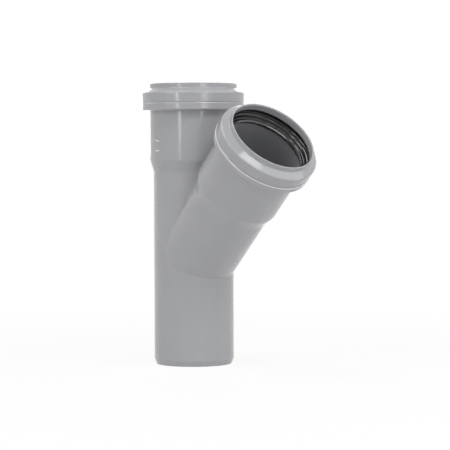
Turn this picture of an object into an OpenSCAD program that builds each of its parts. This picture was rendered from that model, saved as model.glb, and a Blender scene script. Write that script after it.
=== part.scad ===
// Push-fit drain branch: an equal 45 degree tee for indoor waste pipe.
// One grey plastic moulding has a plain spigot below, a socket at the top of
// the run and a like socket at the end of the branch. A rubber sealing ring
// sits in the bead of each socket.
// Millimetres. The origin is the centre of the spigot's end face, +Z runs up
// the run, and the branch leans towards +X.

/* [Pipe] */
// Outside diameter of the pipe that the fitting joins
pipe_d = 50; // [40:0.5:60]
// Wall thickness of the run, the branch and the spigot
pipe_wall = 1.8; // [1.4:0.1:2.4]

/* [Layout] */
// Angle between the branch and the run
branch_angle = 45; // [42:1:90]
// How much smaller in radius the branch pipe is than the run that it enters
branch_step = 0.1; // [0.05:0.05:0.5]
// From the top of the spigot to the heel of the branch
heel_len = 4.45; // [3:0.05:60]
// From the crotch of the plain pipes up to the bottom of the run's socket
run_margin = 3.15; // [2:0.05:40]
// From the crotch of the plain pipes out to the bottom of the branch's socket
branch_margin = 2.7; // [2:0.05:40]

/* [Spigot] */
// Length of the spigot, which is held to the pipe's own diameter
spigot_len = 50; // [40:0.5:120]
// How much larger in radius the tubes are above the spigot
swell = 0.05; // [0.05:0.05:0.3]
// Height over which the spigot widens to the tube above it
swell_len = 2; // [1:0.5:3]
// Length of the chamfer at the end of the spigot
chamfer_len = 3.3; // [2:0.1:6]
// How far the chamfer goes into the wall
chamfer_depth = 1.35; // [0.6:0.05:1.35]

/* [Socket] */
// Radial play of the pipe in the socket
pipe_play = 0.35; // [0.2:0.05:0.8]
// Straight depth of the socket, from its mouth to the start of its taper
socket_len = 47.6; // [35:0.1:70]
// Wall thickness of the socket below its bead
socket_wall = 1.9; // [1.5:0.1:2.6]
// Half angle of the taper from the socket down to the pipe
taper_angle = 17; // [12:1:40]
// Radius of the soft bends at both ends of the taper
taper_bend_r = 6; // [1:0.5:8]
// Wall thickness of the bead round its groove
bead_wall = 2.15; // [1.7:0.05:2.6]
// Wall thickness of the lip
lip_wall = 1.05; // [1:0.05:1.6]
// How much wider the lip's bore is than the socket's, in radius
lip_widening = 1.1; // [0.4:0.1:1.6]
// Length of the lip between the mouth and the bead
lip_len = 3.1; // [2:0.1:6]
// Wall thickness of the bead's shoulder
shoulder_wall = 1.3; // [1.1:0.05:1.8]
// Slope of the bead's shoulder, measured from the socket's axis
shoulder_angle = 60; // [45:1:75]
// From the mouth to the underside of the bead
bead_end = 16.8; // [14:0.1:24]
// Depth of the seal's groove inside the bead
groove_depth = 4.6; // [3.6:0.1:5]
// Lead-in chamfer at the mouth, along the axis
lead_in_len = 0.6; // [0.3:0.1:1]
// Lead-in chamfer at the mouth, across the wall
lead_in_depth = 0.45; // [0.2:0.05:0.5]

/* [Parting Groove] */
// From the mouth to the middle of the fine groove round the bead
parting_t = 12; // [10.5:0.1:13]
// Width of the fine groove
parting_w = 1.1; // [0.6:0.1:1.6]
// Depth of the fine groove
parting_depth = 0.3; // [0.15:0.05:0.5]
// How much smaller the bead is below the fine groove
parting_step = 0.05; // [0:0.05:0.3]

/* [Edge Radii] */
// Radius of the rim's outer edge
rim_r = 0.4; // [0.2:0.05:0.4]
// Radius in the neck between the lip and the shoulder
neck_r = 0.8; // [0.3:0.1:1.2]
// Radius of the bead's top edge
bead_top_r = 1.2; // [0.5:0.1:1.5]
// Radius of the bead's lower edge
bead_bottom_r = 0.9; // [0.5:0.1:1.6]
// Radius in the corner under the bead
underside_r = 0.6; // [0.3:0.1:1]

/* [Seal] */
// Free space all round the seal in its groove
seal_play = 0.1; // [0.05:0.05:0.3]
// Radial gap between the pipe and the lip that it has pushed back
lip_clear = 0.2; // [0.1:0.05:0.3]
// Thickness of the ring that lies against the bottom of the groove
seal_base = 1.3; // [1:0.1:1.8]
// Thickness of the sealing lip
seal_lip = 1; // [0.8:0.1:1.3]
// How far the two scraper ribs stand clear of the pipe
rib_clear = 1; // [0.6:0.1:1.3]

/* [Hidden] */

// Segments in a full turn, and the turn of one step in a rounded corner.
TURN = 144;
CORNER_STEP = 15;
// How far a cut runs past the face that it opens.
OVERCUT = 1;

pipe_r = pipe_d / 2;
tube_r = pipe_r + swell;
tube_bore_r = tube_r - pipe_wall;
branch_r = tube_r - branch_step;
branch_bore_r = branch_r - pipe_wall;
crossing_z = spigot_len + heel_len + (branch_r - tube_r * cos(branch_angle)) / sin(branch_angle);
crotch_z = crossing_z + (branch_r + tube_r * cos(branch_angle)) / sin(branch_angle);
crotch_s = (tube_r + branch_r * cos(branch_angle)) / sin(branch_angle);
run_mouth_z = crotch_z + run_margin + socket_len;
branch_mouth_s = crotch_s + branch_margin + socket_len;

socket_r = pipe_r + pipe_play;
socket_out_r = socket_r + socket_wall;
taper_out_t = socket_len + socket_wall * tan(taper_angle / 2);

lip_in_r = socket_r + lip_widening;
lip_out_r = lip_in_r + lip_wall;
groove_r = socket_r + groove_depth;
bead_r = groove_r + bead_wall;
lower_bead_r = bead_r - parting_step;
shoulder_len = (bead_r - lip_out_r) / tan(shoulder_angle);
lip_end_t = lip_len - lip_wall / tan(shoulder_angle) + shoulder_wall / sin(shoulder_angle);
groove_t = lip_end_t + (groove_r - lip_in_r) / tan(shoulder_angle);
groove_end = bead_end - bead_wall;

// A corner b of the path a, b, c with a tangent arc of radius r in it.
function unit(v) = v / norm(v);
function corner(a, b, c, r) =
    let (
        u = unit(a - b),
        v = unit(c - b),
        half = acos(max(-1, min(1, u * v))) / 2
    )
    r == 0 || half > 89 ? [b] :
    let (
        centre = b + unit(u + v) * r / sin(half),
        first = b + u * r / tan(half) - centre,
        last = b + v * r / tan(half) - centre,
        sweep = 180 - 2 * half,
        side = first[0] * last[1] - first[1] * last[0] > 0 ? 1 : -1,
        steps = ceil(sweep / CORNER_STEP)
    )
    [for (i = [0 : steps])
        let (turn = side * sweep * i / steps)
        centre + [first[0] * cos(turn) - first[1] * sin(turn),
                  first[0] * sin(turn) + first[1] * cos(turn)]];

// A closed outline from a list of [r, z, corner radius].
function rounded(path) =
    let (n = len(path), at = function (i) [path[(i + n) % n][0], path[(i + n) % n][1]])
    [for (i = [0 : n - 1]) each corner(at(i - 1), at(i), at(i + 1), path[i][2])];

// Turns [r, distance from the mouth, corner radius] into heights on an axis
// whose mouth is at z = mouth.
function from_mouth(path, mouth) = [for (p = path) [p[0], mouth - p[1], p[2]]];

// The outside of a socket, from the tube below its taper up to its rim.
function socket_outside(tube) = [
    [tube, taper_out_t + (socket_out_r - tube) / tan(taper_angle), taper_bend_r],
    [socket_out_r, taper_out_t, taper_bend_r],
    [socket_out_r, bead_end, underside_r],
    [lower_bead_r, bead_end, bead_bottom_r],
    [lower_bead_r, parting_t + parting_w / 2, 0],
    [bead_r - parting_depth, parting_t, 0],
    [bead_r, parting_t - parting_w / 2, 0],
    [bead_r, lip_len + shoulder_len, bead_top_r],
    [lip_out_r, lip_len, neck_r],
    [lip_out_r, 0, rim_r]
];

// The hollow of a socket, from the tube's bore up past its mouth.
function socket_hollow(bore) = [
    [bore, socket_len + (socket_r - bore) / tan(taper_angle), 0],
    [socket_r, socket_len, 0],
    [socket_r, groove_end, 0],
    [groove_r, groove_end, 0],
    [groove_r, groove_t, 0],
    [lip_in_r, lip_end_t, 0],
    [lip_in_r, lead_in_len, 0],
    [lip_in_r + lead_in_depth, 0, 0],
    [lip_in_r + lead_in_depth, -OVERCUT, 0]
];

module revolve(path) {
    rotate_extrude($fn = TURN) polygon(rounded(path));
}

module on_branch() {
    translate([0, 0, crossing_z]) rotate([0, branch_angle, 0]) children();
}

module run_outside() {
    revolve(concat(
        [[0, 0, 0], [pipe_r - chamfer_depth, 0, 0], [pipe_r, chamfer_len, 0],
         [pipe_r, spigot_len, 0], [tube_r, spigot_len + swell_len, 0]],
        from_mouth(socket_outside(tube_r), run_mouth_z),
        [[0, run_mouth_z, 0]]
    ));
}

module run_hollow() {
    revolve(concat(
        [[0, -OVERCUT, 0], [tube_bore_r, -OVERCUT, 0]],
        from_mouth(socket_hollow(tube_bore_r), run_mouth_z),
        [[0, run_mouth_z + OVERCUT, 0]]
    ));
}

module branch_outside() {
    revolve(concat(
        [[0, 0, 0], [branch_r, 0, 0]],
        from_mouth(socket_outside(branch_r), branch_mouth_s),
        [[0, branch_mouth_s, 0]]
    ));
}

module branch_hollow() {
    revolve(concat(
        [[0, 0, 0], [branch_bore_r, 0, 0]],
        from_mouth(socket_hollow(branch_bore_r), branch_mouth_s),
        [[0, branch_mouth_s + OVERCUT, 0]]
    ));
}

// The whole fitting is one moulding: two crossing tubes with one hollow.
module body() {
    color([0.61, 0.615, 0.63])
    difference() {
        union() {
            run_outside();
            on_branch() branch_outside();
        }
        run_hollow();
        on_branch() branch_hollow();
    }
}

// The sealing ring's section, with its lip pushed back as a pipe leaves it:
// a base ring, two scraper ribs towards the mouth, and the lip behind them.
function seal_section() =
    let (
        outer = groove_r - seal_play,
        back = groove_end - seal_play,
        front = groove_t + 0.3,
        rib = pipe_r + rib_clear,
        lip = pipe_r + lip_clear,
        floor_r = outer - seal_base,
        rib_front = lip_end_t + 1.7
    ) [
        [outer, back, 0.4],
        [outer, front, 0.3],
        [rib + 0.5, rib_front, 0.3],
        [rib, rib_front + 0.5, 0.25],
        [rib + 0.8, rib_front + 1.1, 0.2],
        [rib - 0.1, rib_front + 1.8, 0.3],
        [floor_r - 0.6, rib_front + 3, 0.4],
        [lip + 0.4, rib_front + 4, 0.5],
        [lip + 0.7, rib_front + 4.8, 0.2],
        [lip, rib_front + 5.9, 0.5],
        [lip + seal_lip, back - 0.9, 0.3],
        [floor_r, rib_front + 4.9, 0.4],
        [floor_r, back, 0.3]
    ];

module seal_ring() {
    revolve(from_mouth(seal_section(), 0));
}

module run_seal() {
    color([0.09, 0.09, 0.1]) translate([0, 0, run_mouth_z]) seal_ring();
}

module branch_seal() {
    color([0.09, 0.09, 0.1]) on_branch() translate([0, 0, branch_mouth_s]) seal_ring();
}

body();
run_seal();
branch_seal();
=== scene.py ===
# %% [markdown]
# A drain branch in grey plastic
#
# This lesson dresses a push-fit branch for indoor waste pipe. The exact solids come from the CAD model:
# one grey moulding and two rubber sealing rings. Blender adds what the eye looks for on such a part: the
# smooth skin of moulded polypropylene, the free lips of the sealing rings, the fine lines that the mould
# leaves, and soft studio light. Everything is in metres, in the CAD model's own frame: the origin is the
# centre of the spigot's end, the run goes up +Z and the branch leans towards +X.

# %% Load the CAD frame
import math

import bmesh
import bpy
from mathutils import Matrix, Vector


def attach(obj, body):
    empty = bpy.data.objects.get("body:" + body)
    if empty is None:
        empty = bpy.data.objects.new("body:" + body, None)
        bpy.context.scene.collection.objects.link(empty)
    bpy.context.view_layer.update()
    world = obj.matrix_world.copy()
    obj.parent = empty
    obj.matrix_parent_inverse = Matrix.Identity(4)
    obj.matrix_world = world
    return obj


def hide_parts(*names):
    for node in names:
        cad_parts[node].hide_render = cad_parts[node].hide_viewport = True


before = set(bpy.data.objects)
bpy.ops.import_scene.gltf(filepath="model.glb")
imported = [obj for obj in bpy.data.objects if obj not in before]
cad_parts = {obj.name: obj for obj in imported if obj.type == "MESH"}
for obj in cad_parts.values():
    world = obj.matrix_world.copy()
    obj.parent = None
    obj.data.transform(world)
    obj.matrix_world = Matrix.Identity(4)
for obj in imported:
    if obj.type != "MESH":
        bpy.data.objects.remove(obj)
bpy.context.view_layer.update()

print("CAD nodes:", sorted(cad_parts))

# %% [markdown]
# The measures
#
# A few lengths from the CAD source are needed again, for the pieces that Blender adds. They are kept in
# millimetres here, as on a drawing, and each piece is scaled to metres once it is made. The end of the bead
# and both ends of the taper are distances from a socket's mouth.

# %% Measures of the fitting, in millimetres
MM = 0.001
SPIGOT_R = 25
TUBE_R = 25.05
BRANCH_R = 24.95
SOCKET_R = 27.25
BEAD_R = 32.1
SPIGOT_TOP = 50
TUBE_BOTTOM = 52
CROSSING = 64.685
BRANCH_ANGLE = math.radians(45)
RUN_MOUTH = 175.769
BRANCH_MOUTH = 110.676
BEAD_END = 16.8
TAPER_TOP = 47.884
TAPER_BOTTOM = 55.08
BRANCH_TAPER_BOTTOM = 55.41
print("run mouth", RUN_MOUTH, "mm up; branch mouth", BRANCH_MOUTH, "mm out from the crossing")

# %% [markdown]
# The camera
#
# The photograph was taken with a long lens from a little below the middle of the upper socket. Its place was
# found by fitting the outlines of the two tubes, so it stands 1.3 m away, to the front and right, and looks
# down by a little over two degrees. A turn about the line of sight of a fifth of a degree levels the frame.

# %% Camera
CAMERA_AT = Vector((1.0101, -0.7781, 0.13836))
HEADING = math.radians(51.51)
PITCH = math.radians(-2.309)
ROLL = math.radians(-0.178)
turn_camera = (
    Matrix.Rotation(HEADING, 4, "Z")
    @ Matrix.Rotation(math.pi / 2 + PITCH, 4, "X")
    @ Matrix.Rotation(ROLL, 4, "Z")
)
camera_data = bpy.data.cameras.new("product_camera")
camera_data.sensor_width = 36
camera_data.lens = 162.15
camera = bpy.data.objects.new("product_camera", camera_data)
camera.matrix_world = Matrix.Translation(CAMERA_AT) @ turn_camera
bpy.context.scene.collection.objects.link(camera)
bpy.context.scene.camera = camera
bpy.context.scene.view_settings.view_transform = "Standard"
print("lens", camera_data.lens, "mm, at", tuple(CAMERA_AT))

# %% [markdown]
# A moulded skin, shared by plastic and rubber
#
# A moulded surface is never perfectly even. It has a very fine grain from the steel of the mould, slow
# changes of gloss where the melt cooled at different speeds, and a faint mottle in its colour. The three
# come from noise at three sizes. All the materials of the part use the same effect, so it is a node group
# with named inputs, and each material places it with its own values. The group reads Object coordinates,
# which stay with the piece, and puts out a colour, a roughness and a bumped normal.

# %% Node group for the moulded skin
def new_socket(group, name, kind, way, value=None):
    socket = group.interface.new_socket(name=name, in_out=way, socket_type=kind)
    if value is not None:
        socket.default_value = value


def add_node(tree, kind, **settings):
    node = tree.nodes.new(kind)
    for name, value in settings.items():
        setattr(node, name, value)
    return node


skin = bpy.data.node_groups.new("moulded_skin", "ShaderNodeTree")
new_socket(skin, "Colour", "NodeSocketColor", "INPUT", (0.36, 0.36, 0.37, 1))
new_socket(skin, "Mottle", "NodeSocketFloat", "INPUT", 0.03)
new_socket(skin, "Roughness", "NodeSocketFloat", "INPUT", 0.4)
new_socket(skin, "Roughness Change", "NodeSocketFloat", "INPUT", 0.05)
new_socket(skin, "Grain Size", "NodeSocketFloat", "INPUT", 0.0006)
new_socket(skin, "Grain Depth", "NodeSocketFloat", "INPUT", 0.00001)
new_socket(skin, "Colour", "NodeSocketColor", "OUTPUT")
new_socket(skin, "Roughness", "NodeSocketFloat", "OUTPUT")
new_socket(skin, "Normal", "NodeSocketVector", "OUTPUT")
print("node group", skin.name, "has", len(skin.interface.items_tree), "sockets")

# %% [markdown]
# The mottle in the colour
#
# A slow noise, with clouds about two or three centimetres wide, makes the colour a little lighter or darker.
# The noise runs round one half, so the colour is multiplied by one, plus the mottle times the noise, less
# half the mottle. Its mean stays as written.

# %% Nodes for the mottle
CLOUDS_PER_METRE = 38
group_in = add_node(skin, "NodeGroupInput")
group_out = add_node(skin, "NodeGroupOutput")
place = add_node(skin, "ShaderNodeTexCoord")
join = skin.links.new

cloud = add_node(skin, "ShaderNodeTexNoise")
cloud.inputs["Scale"].default_value = CLOUDS_PER_METRE
cloud.inputs["Detail"].default_value = 4
join(place.outputs["Object"], cloud.inputs["Vector"])

cloud_shift = add_node(skin, "ShaderNodeMath", operation="MULTIPLY_ADD")
cloud_low = add_node(skin, "ShaderNodeMath", operation="MULTIPLY_ADD")
cloud_low.inputs[1].default_value = -0.5
cloud_low.inputs[2].default_value = 1
join(group_in.outputs["Mottle"], cloud_low.inputs[0])
join(cloud.outputs["Fac"], cloud_shift.inputs[0])
join(group_in.outputs["Mottle"], cloud_shift.inputs[1])
join(cloud_low.outputs["Value"], cloud_shift.inputs[2])
tint = add_node(skin, "ShaderNodeVectorMath", operation="SCALE")
join(group_in.outputs["Colour"], tint.inputs[0])
join(cloud_shift.outputs["Value"], tint.inputs["Scale"])
join(tint.outputs["Vector"], group_out.inputs["Colour"])
print("mottle about", round(1000 / CLOUDS_PER_METRE), "mm wide")

# %% [markdown]
# Changes of gloss
#
# A second noise moves the roughness between the set value less its change and the set value plus its change.
# Noise rarely leaves its middle span, so that span is what the Map Range node spreads over the two limits.

# %% Nodes for the roughness
PATCHES_PER_METRE = 90
NOISE_LOW = 0.3
NOISE_HIGH = 0.7
sheen = add_node(skin, "ShaderNodeTexNoise")
sheen.inputs["Scale"].default_value = PATCHES_PER_METRE
sheen.inputs["Detail"].default_value = 3
join(place.outputs["Object"], sheen.inputs["Vector"])
sheen_span = add_node(skin, "ShaderNodeMapRange")
sheen_span.inputs["From Min"].default_value = NOISE_LOW
sheen_span.inputs["From Max"].default_value = NOISE_HIGH
smoothest = add_node(skin, "ShaderNodeMath", operation="SUBTRACT")
roughest = add_node(skin, "ShaderNodeMath", operation="ADD")
for limit in (smoothest, roughest):
    join(group_in.outputs["Roughness"], limit.inputs[0])
    join(group_in.outputs["Roughness Change"], limit.inputs[1])
join(sheen.outputs["Fac"], sheen_span.inputs["Value"])
join(smoothest.outputs["Value"], sheen_span.inputs["To Min"])
join(roughest.outputs["Value"], sheen_span.inputs["To Max"])
join(sheen_span.outputs["Result"], group_out.inputs["Roughness"])
print("patches of gloss about", round(1000 / PATCHES_PER_METRE), "mm wide")

# %% [markdown]
# The grain
#
# The finest noise only bends the normal, because the grain is a few thousandths of a millimetre deep. The
# grain's size is a length, and a noise node wants its inverse, so one is divided by it.

# %% Nodes for the grain
grain_rate = add_node(skin, "ShaderNodeMath", operation="DIVIDE")
grain_rate.inputs[0].default_value = 1
grain = add_node(skin, "ShaderNodeTexNoise")
grain.inputs["Detail"].default_value = 2
grain_bump = add_node(skin, "ShaderNodeBump")
join(group_in.outputs["Grain Size"], grain_rate.inputs[1])
join(grain_rate.outputs["Value"], grain.inputs["Scale"])
join(place.outputs["Object"], grain.inputs["Vector"])
join(grain.outputs["Fac"], grain_bump.inputs["Height"])
join(group_in.outputs["Grain Depth"], grain_bump.inputs["Distance"])
join(grain_bump.outputs["Normal"], group_out.inputs["Normal"])
print("moulded skin:", len(skin.nodes), "nodes")

# %% [markdown]
# Three finishes
#
# The body is grey polypropylene from a polished mould: an even, slightly cool grey, smooth enough that each
# lamp leaves a narrow band. The sealing rings are black rubber, greased at the works, so their ridges catch
# sharp glints too. The third finish is a pale grey for thin raised edges: a painted highlight that stands for
# the glint of light along them. Each finish is one Principled shader that takes its colour, roughness and
# normal from the moulded skin. What is the same all over, such as the specular level, sits on the shader
# itself.

# %% Materials for the body, its scuffed edges and the seals
GRAIN_DEPTH = 0.000006
SPECULAR_LEVEL = 0.5


def moulded_finish(name, colour, mottle, roughness, roughness_change, grain_size):
    material = bpy.data.materials.new(name)
    material.use_nodes = True
    tree = material.node_tree
    shader = tree.nodes["Principled BSDF"]
    surface = add_node(tree, "ShaderNodeGroup", node_tree=skin)
    surface.inputs["Colour"].default_value = (*colour, 1)
    surface.inputs["Mottle"].default_value = mottle
    surface.inputs["Roughness"].default_value = roughness
    surface.inputs["Roughness Change"].default_value = roughness_change
    surface.inputs["Grain Size"].default_value = grain_size
    surface.inputs["Grain Depth"].default_value = GRAIN_DEPTH
    tree.links.new(surface.outputs["Colour"], shader.inputs["Base Color"])
    tree.links.new(surface.outputs["Roughness"], shader.inputs["Roughness"])
    tree.links.new(surface.outputs["Normal"], shader.inputs["Normal"])
    shader.inputs["Specular IOR Level"].default_value = SPECULAR_LEVEL
    material.diffuse_color = (*colour, 1)
    print("finish", name, "colour", colour)
    return material


grey_plastic = moulded_finish(
    "grey_polypropylene", colour=(0.36, 0.363, 0.378), mottle=0.05,
    roughness=0.12, roughness_change=0.03, grain_size=0.0007,
)
# A pale grey painted highlight: it stands for the glint of light on thin raised edges.
painted_glint_pale = moulded_finish(
    "painted_glint_edge", colour=(0.78, 0.78, 0.8), mottle=0.03,
    roughness=0.25, roughness_change=0.03, grain_size=0.0007,
)
black_rubber = moulded_finish(
    "black_rubber", colour=(0.012, 0.012, 0.013), mottle=0.2,
    roughness=0.16, roughness_change=0.04, grain_size=0.0005,
)

# %% [markdown]
# The body
#
# The CAD body already has the right shape, with its rounded edges, so it stays and gets the plastic finish.
# Modelling it again would only make a second shape to keep in step with the first.

# %% Body finish
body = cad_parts["body"]
body.data.materials.clear()
body.data.materials.append(grey_plastic)
print("body has", len(body.data.polygons), "faces")

# %% [markdown]
# Placing pieces on the run and on the branch
#
# Both sockets are the same shape, so a piece is made once, about its own axis with the mouth at zero, and
# then moved up the run or leaned over onto the branch.

# %% Helpers that place a piece
def on_run(shape):
    bmesh.ops.transform(shape, matrix=Matrix.Translation((0, 0, RUN_MOUTH)), verts=shape.verts)


def on_branch(shape):
    lean = (
        Matrix.Translation((0, 0, CROSSING))
        @ Matrix.Rotation(BRANCH_ANGLE, 4, "Y")
        @ Matrix.Translation((0, 0, BRANCH_MOUTH))
    )
    bmesh.ops.transform(shape, matrix=lean, verts=shape.verts)


print("pieces can go on the run or on the branch, which leans", round(math.degrees(BRANCH_ANGLE)), "degrees")

# %% [markdown]
# Finishing a piece
#
# The first helper turns a finished bmesh into an object: it scales it to metres, shades it smooth but for
# edges sharper than an angle, and lets it ride on the body. The second spins an outline a full turn about the
# Z axis. The spin leaves its first and last outline in one place, so close vertices are merged.

# %% Helpers that finish and spin a piece
SPIN_STEPS = 160
SMOOTH_ALL = 180
MERGE_DISTANCE = 0.0005


def finish_piece(shape, name, material, smooth_angle=SMOOTH_ALL):
    bmesh.ops.scale(shape, vec=(MM, MM, MM), verts=shape.verts)
    mesh = bpy.data.meshes.new(name)
    shape.to_mesh(mesh)
    shape.free()
    mesh.materials.append(material)
    mesh.shade_smooth()
    mesh.set_sharp_from_angle(angle=math.radians(smooth_angle))
    piece = bpy.data.objects.new(name, mesh)
    bpy.context.scene.collection.objects.link(piece)
    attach(piece, "root")
    print(name, len(mesh.polygons), "faces")
    return piece


def spin_full_turn(shape):
    outline = shape.verts[:] + shape.edges[:]
    bmesh.ops.spin(
        shape, geom=outline, cent=(0, 0, 0), axis=(0, 0, 1), dvec=(0, 0, 0), angle=2 * math.pi,
        steps=SPIN_STEPS, use_merge=True,
    )
    bmesh.ops.remove_doubles(shape, verts=shape.verts, dist=MERGE_DISTANCE)
    bmesh.ops.recalc_face_normals(shape, faces=shape.faces)


print("a full turn has", SPIN_STEPS, "steps")

# %% [markdown]
# The sealing rings
#
# The CAD ring has its lip pushed back, as a pipe leaves it. With no pipe in the socket the lip stands free
# and reaches further in. From the mouth the ring narrows in three slopes, with a fine step between each two,
# and the last one ends in the lip. Each slope and step catches its own band of light. A ring is a body of
# revolution, so the easiest way is to draw its section once, as a chain of corners. Each corner has its
# radius from the axis, its distance from the mouth and the size of the bevel that rounds it.

# %% Section of the free ring
RING_SECTION = [
    (29.85, 14.55, 0.35),
    (29.85, 6.5, 0.3),
    (29.0, 7.45, 0.2),
    (28.3, 7.3, 0.2),
    (27.9, 8.1, 0.12),
    (28.0, 8.4, 0.12),
    (27.5, 8.25, 0.16),
    (26.9, 8.8, 0.25),
    (26.3, 9.85, 0.14),
    (26.45, 10.3, 0.14),
    (25.9, 10.25, 0.16),
    (25.5, 10.64, 0.2),
    (24.95, 11.6, 0.25),
    (24.0, 12.05, 0.18),
    (24.2, 12.7, 0.25),
    (27.6, 13.3, 0.4),
    (28.5, 14.55, 0.3),
]
print("the ring's section has", len(RING_SECTION), "corners")

# %% [markdown]
# Spinning the rings
#
# A vertex bevel rounds each corner of the section, then the section's face goes and its outline is spun. The
# same section serves both sockets: one ring is moved up the run, and the other is leaned onto the branch.
# Each takes the place of its CAD node.

# %% Spin the section into the two rings
SHARP_RING_EDGE = 40


def sealing_ring(name, node, put):
    shape = bmesh.new()
    corners = [shape.verts.new((r, 0, -t)) for r, t, _ in RING_SECTION]
    shape.faces.new(corners)
    for corner, (_, _, radius) in zip(corners, RING_SECTION):
        bmesh.ops.bevel(
            shape, geom=[corner], offset=radius, offset_type="OFFSET", segments=5, profile=0.5,
            affect="VERTICES", clamp_overlap=True, material=-1,
        )
    bmesh.ops.delete(shape, geom=shape.faces[:], context="FACES_ONLY")
    spin_full_turn(shape)
    put(shape)
    piece = finish_piece(shape, name, black_rubber, SHARP_RING_EDGE)
    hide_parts(node)


sealing_ring("run_sealing_ring", "run_seal", on_run)
sealing_ring("branch_sealing_ring", "branch_seal", on_branch)

# %% [markdown]
# The fine rib round each bead
#
# Just below the groove in each bead stands a hair-fine rib, where two rings of the mould meet. A small
# circle, spun round the socket's axis, makes it, and most of it is sunk in the bead. On the branch it stands
# higher and is coloured pale, a painted highlight for the thin line of light along it. On the run it is
# nearly flat.

# %% Ribs on the beads
RIB_R = 0.3
RIB_FROM_MOUTH = 13.1


def bead_rib(name, put, material, proud):
    shape = bmesh.new()
    middle = Matrix.Translation((BEAD_R + proud - RIB_R, 0, -RIB_FROM_MOUTH))
    upright = Matrix.Rotation(math.pi / 2, 4, "X")
    bmesh.ops.create_circle(shape, cap_ends=False, segments=12, radius=RIB_R, matrix=middle @ upright)
    spin_full_turn(shape)
    put(shape)
    finish_piece(shape, name, material)


bead_rib("run_bead_rib", on_run, grey_plastic, proud=0.012)
# The branch rib's pale colour is a painted highlight, for the glint of light along its edge.
bead_rib("branch_bead_rib", on_branch, painted_glint_pale, proud=0.14)

# %% [markdown]
# The parting line
#
# The two halves of the mould meet in the fitting's plane of symmetry and leave a fine line on the outside,
# along the spigot, up the back and on both sides of the branch. Each stretch is a chain of points on the
# outside wall, and it stops short of the chamfer and of the beads. Two stretches meet at the heel, under the
# branch, and two in the crotch above it. So each of these places is given twice, as a height on the run and
# as a distance along the branch.

# %% Stretches of the parting line, as points in the plane of symmetry
CHAMFER_CLEARANCE = 3.5
BEAD_CLEARANCE = 0.6
HEEL_HEIGHT = 54.4
HEEL_ALONG_BRANCH = 10.4
CROTCH_HEIGHT = 130.5
CROTCH_ALONG_BRANCH = 65.8


def in_run(radius, height):
    return Vector((radius, 0, height))


def in_branch(radius, along):
    lean = Matrix.Rotation(BRANCH_ANGLE, 4, "Y")
    return Vector((0, 0, CROSSING)) + lean @ Vector((radius, 0, along))


under_bead = RUN_MOUTH - BEAD_END - BEAD_CLEARANCE
under_branch_bead = BRANCH_MOUTH - BEAD_END - BEAD_CLEARANCE
LINE_STRETCHES = {
    "parting_line_back": [
        in_run(-SPIGOT_R, CHAMFER_CLEARANCE), in_run(-SPIGOT_R, SPIGOT_TOP), in_run(-TUBE_R, TUBE_BOTTOM),
        in_run(-TUBE_R, RUN_MOUTH - TAPER_BOTTOM), in_run(-SOCKET_R, RUN_MOUTH - TAPER_TOP),
        in_run(-SOCKET_R, under_bead),
    ],
    "parting_line_spigot": [
        in_run(SPIGOT_R, CHAMFER_CLEARANCE), in_run(SPIGOT_R, SPIGOT_TOP), in_run(TUBE_R, TUBE_BOTTOM),
        in_run(TUBE_R, HEEL_HEIGHT),
    ],
    "parting_line_under_branch": [
        in_branch(BRANCH_R, HEEL_ALONG_BRANCH), in_branch(BRANCH_R, BRANCH_MOUTH - BRANCH_TAPER_BOTTOM),
        in_branch(SOCKET_R, BRANCH_MOUTH - TAPER_TOP), in_branch(SOCKET_R, under_branch_bead),
    ],
    "parting_line_crotch_run": [in_run(SOCKET_R, CROTCH_HEIGHT), in_run(SOCKET_R, under_bead)],
    "parting_line_crotch_branch": [
        in_branch(-SOCKET_R, CROTCH_ALONG_BRANCH), in_branch(-SOCKET_R, under_branch_bead),
    ],
}
print("parting line in", len(LINE_STRETCHES), "stretches")

# %% [markdown]
# Making the parting line
#
# Each chain becomes edges on one side of the plane. They are extruded across it into a ribbon, and the ribbon
# is made solid. Half its thickness is sunk in the wall, so it stands only a few hundredths of a millimetre
# proud.

# %% Make the parting line
LINE_WIDTH = 0.3
LINE_HEIGHT = 0.07
SHARP_LINE_EDGE = 30


def parting_line(name, points):
    shape = bmesh.new()
    chain = [shape.verts.new(point - Vector((0, LINE_WIDTH / 2, 0))) for point in points]
    edges = [shape.edges.new(pair) for pair in zip(chain, chain[1:])]
    ribbon = bmesh.ops.extrude_edge_only(shape, edges=edges)
    far_side = [item for item in ribbon["geom"] if isinstance(item, bmesh.types.BMVert)]
    bmesh.ops.translate(shape, vec=(0, LINE_WIDTH, 0), verts=far_side)
    bmesh.ops.solidify(shape, geom=shape.faces[:], thickness=2 * LINE_HEIGHT)
    bmesh.ops.recalc_face_normals(shape, faces=shape.faces)
    finish_piece(shape, name, grey_plastic, SHARP_LINE_EDGE)


for stretch, points in LINE_STRETCHES.items():
    parting_line(stretch, points)

# %% [markdown]
# Raised marks
#
# The socket carries two short raised dashes on its side, and the tube below it a small spot. They are plain
# pads: a sphere is flattened to a pill, half of it is sunk in the wall, and it is bent round the tube by
# turning its sideways reach into an angle. The dashes are coloured pale, a painted highlight for the glints
# of light on them.

# %% Raised dashes and the small spot
DASH_ANGLE = math.radians(-93.4)
SPOT_ANGLE = math.radians(-92.6)
DASH_TALL = 0.85
DASH_PROUD = 0.4


def raised_pad(name, material, wall_radius, angle, height, length, tall, proud, tilt):
    shape = bmesh.new()
    bmesh.ops.create_uvsphere(shape, u_segments=24, v_segments=12, radius=1)
    bmesh.ops.scale(shape, vec=(proud, length / 2, tall / 2), verts=shape.verts)
    bmesh.ops.rotate(shape, cent=(0, 0, 0), matrix=Matrix.Rotation(tilt, 3, "X"), verts=shape.verts)
    for vertex in shape.verts:
        reach = wall_radius + vertex.co.x
        around = angle + vertex.co.y / wall_radius
        vertex.co = (reach * math.cos(around), reach * math.sin(around), height + vertex.co.z)
    finish_piece(shape, name, material)


# The two dashes take the pale finish: a painted highlight that stands for their glints.
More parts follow.
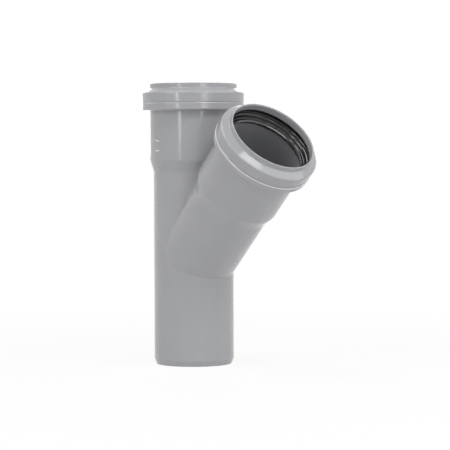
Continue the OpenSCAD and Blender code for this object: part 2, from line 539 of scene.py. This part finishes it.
raised_pad(
    "upper_dash", painted_glint_pale, SOCKET_R, DASH_ANGLE, height=140.1, length=5.0, tall=DASH_TALL,
    proud=DASH_PROUD, tilt=math.radians(-11),
)
raised_pad(
    "lower_dash", painted_glint_pale, SOCKET_R, DASH_ANGLE, height=133.8, length=4.4, tall=DASH_TALL,
    proud=DASH_PROUD, tilt=math.radians(-3),
)
raised_pad(
    "small_spot", grey_plastic, TUBE_R, SPOT_ANGLE, height=117.0, length=1.3, tall=0.8,
    proud=0.12, tilt=0,
)

# %% [markdown]
# The stage
#
# The part stands on a pale floor that runs out into white. The floor is a large plane, a hair below the
# spigot's end, so the two never share a surface. It is linked to the scene as stage, so it is no piece of
# the part.

# %% Floor
FLOOR_REACH = 30
FLOOR_DROP = 0.0003
floor_shape = bmesh.new()
bmesh.ops.create_grid(floor_shape, x_segments=1, y_segments=1, size=FLOOR_REACH)
bmesh.ops.translate(floor_shape, vec=(0, 0, -FLOOR_DROP), verts=floor_shape.verts)
floor_mesh = bpy.data.meshes.new("pale_floor")
floor_shape.to_mesh(floor_mesh)
floor_shape.free()
floor = bpy.data.objects.new("pale_floor", floor_mesh)
bpy.context.scene.collection.objects.link(floor)
print("floor reaches", FLOOR_REACH, "m each way")

# %% [markdown]
# What the camera sees
#
# A photographer's white background is brighter than the light it throws back on the product. Here the Light
# Path node tells the two apart: the helper gives one for a ray from the camera or through gloss or glass, and
# zero for all other light.

# %% Helper that tells the background from the light
def sees_background(tree):
    path = add_node(tree, "ShaderNodeLightPath")
    camera_or_gloss = add_node(tree, "ShaderNodeMath", operation="MAXIMUM")
    any_of_three = add_node(tree, "ShaderNodeMath", operation="MAXIMUM")
    tree.links.new(path.outputs["Is Camera Ray"], camera_or_gloss.inputs[0])
    tree.links.new(path.outputs["Is Glossy Ray"], camera_or_gloss.inputs[1])
    tree.links.new(camera_or_gloss.outputs["Value"], any_of_three.inputs[0])
    tree.links.new(path.outputs["Is Transmission Ray"], any_of_three.inputs[1])
    return any_of_three.outputs["Value"]


print("background rays: camera, gloss and glass")

# %% [markdown]
# The floor's paper
#
# For the camera, and for gloss, most of the floor near the part is plain white glow, and the rest is a real
# matt floor, so the part keeps a faint contact shadow. Further out the glow takes over altogether, so the
# floor has no far edge. All other light meets the matt floor alone and is thrown back softly from below.

# %% Paper material
PAPER_SHADE = 0.88
GLOW_SHARE_NEAR = 0.9
NEAR_RADIUS = 0.1
FAR_RADIUS = 0.5
paper = bpy.data.materials.new("pale_paper")
paper.use_nodes = True
tree = paper.node_tree
matt = tree.nodes["Principled BSDF"]
matt.inputs["Base Color"].default_value = (PAPER_SHADE, PAPER_SHADE, PAPER_SHADE, 1)
matt.inputs["Roughness"].default_value = 0.9
matt.inputs["Specular IOR Level"].default_value = 0
glow = add_node(tree, "ShaderNodeEmission")
glow.inputs["Color"].default_value = (1, 1, 1, 1)
blend = add_node(tree, "ShaderNodeMixShader")
place = add_node(tree, "ShaderNodeTexCoord")
reach = add_node(tree, "ShaderNodeVectorMath", operation="LENGTH")
near_share = add_node(tree, "ShaderNodeMapRange", interpolation_type="SMOOTHSTEP")
near_share.inputs["From Min"].default_value = NEAR_RADIUS
near_share.inputs["From Max"].default_value = FAR_RADIUS
near_share.inputs["To Min"].default_value = GLOW_SHARE_NEAR
near_share.inputs["To Max"].default_value = 1
tree.links.new(place.outputs["Object"], reach.inputs[0])
tree.links.new(reach.outputs["Value"], near_share.inputs["Value"])
share = add_node(tree, "ShaderNodeMath", operation="MULTIPLY")
tree.links.new(sees_background(tree), share.inputs[0])
tree.links.new(near_share.outputs["Result"], share.inputs[1])
tree.links.new(share.outputs["Value"], blend.inputs["Fac"])
tree.links.new(matt.outputs["BSDF"], blend.inputs[1])
tree.links.new(glow.outputs["Emission"], blend.inputs[2])
tree.links.new(blend.outputs["Shader"], tree.nodes["Material Output"].inputs["Surface"])
floor_mesh.materials.append(paper)
print("paper shade", PAPER_SHADE)

# %% [markdown]
# The room
#
# The world does the same as the floor: it is white where the camera or gloss sees it. For all other light it
# is a dim room, brightest at the horizon and dark overhead, so the sides of the tubes get a little light that
# no lamp gives. A direction's Z is the sine of its height above the horizon.

# %% World
HORIZON_LIGHT = 0.18
FADE_FROM = 0.2
world = bpy.data.worlds.new("soft_room")
world.use_nodes = True
bpy.context.scene.world = world
tree = world.node_tree
sky = tree.nodes["Background"]
sky.inputs["Color"].default_value = (1, 1, 1, 1)
way = add_node(tree, "ShaderNodeTexCoord")
height = add_node(tree, "ShaderNodeSeparateXYZ")
room = add_node(tree, "ShaderNodeMapRange")
room.inputs["From Min"].default_value = FADE_FROM
room.inputs["From Max"].default_value = 1
room.inputs["To Min"].default_value = HORIZON_LIGHT
room.inputs["To Max"].default_value = 0
level = add_node(tree, "ShaderNodeMapRange")
level.inputs["To Max"].default_value = 1
tree.links.new(way.outputs["Generated"], height.inputs["Vector"])
tree.links.new(height.outputs["Z"], room.inputs["Value"])
tree.links.new(sees_background(tree), level.inputs["Value"])
tree.links.new(room.outputs["Result"], level.inputs["To Min"])
tree.links.new(level.outputs["Result"], sky.inputs["Strength"])
print("light at the horizon", HORIZON_LIGHT)

# %% [markdown]
# The lights
#
# Eight soft lamps light the part. A narrow one on the left and a low one on the right leave the two upright
# bands on the run. The high one on the right gives the highlight on the branch's shoulder, and shines along
# the branch, so its mouth stays dark inside. Two large ones fill the sides, one hangs overhead, and two stand
# behind. Each lamp faces the middle of the part. Its place is given by its turn in degrees, to the right as
# seen from the camera, then by the height of its middle and its distance from the part, in metres. After
# that come its width and how tall it is, in metres, and its power in watts.

# %% Softboxes
MIDDLE = Vector((0.02, 0, 0.1))
CAMERA_TURN = math.atan2(CAMERA_AT.y, CAMERA_AT.x)


def softbox(name, turn, height, distance, width, tall, power):
    angle = CAMERA_TURN + math.radians(turn)
    data = bpy.data.lights.new(name, "AREA")
    data.shape = "RECTANGLE"
    data.size = width
    data.size_y = tall
    data.energy = power
    lamp = bpy.data.objects.new(name, data)
    lamp.location = (MIDDLE.x + math.cos(angle) * distance, math.sin(angle) * distance, height)
    lamp.rotation_euler = (MIDDLE - lamp.location).to_track_quat("-Z", "Y").to_euler()
    bpy.context.scene.collection.objects.link(lamp)
    print(name, "at", [round(v, 2) for v in lamp.location], "power", power)


softbox("right_softbox", 25, 0.31, 1.4, 0.34, 0.34, 1.2)
softbox("right_high_softbox", 30, 1.05, 0.89, 0.7, 0.45, 5.8)
softbox("right_side_softbox", 72, 0.75, 1.2, 1.2, 1.0, 7.4)
softbox("left_softbox", -60, 0.85, 1.25, 0.5, 0.8, 5.6)
softbox("left_narrow_softbox", -37, 0.5, 1.4, 0.17, 0.77, 2.1)
softbox("overhead_softbox", -90, 1.36, 0.34, 0.8, 0.35, 4.8)
softbox("edge_softbox", -128, 0.63, 1.2, 0.35, 0.35, 0.8)
softbox("back_softbox", 180, 0.55, 1.4, 0.6, 0.9, 5.0)
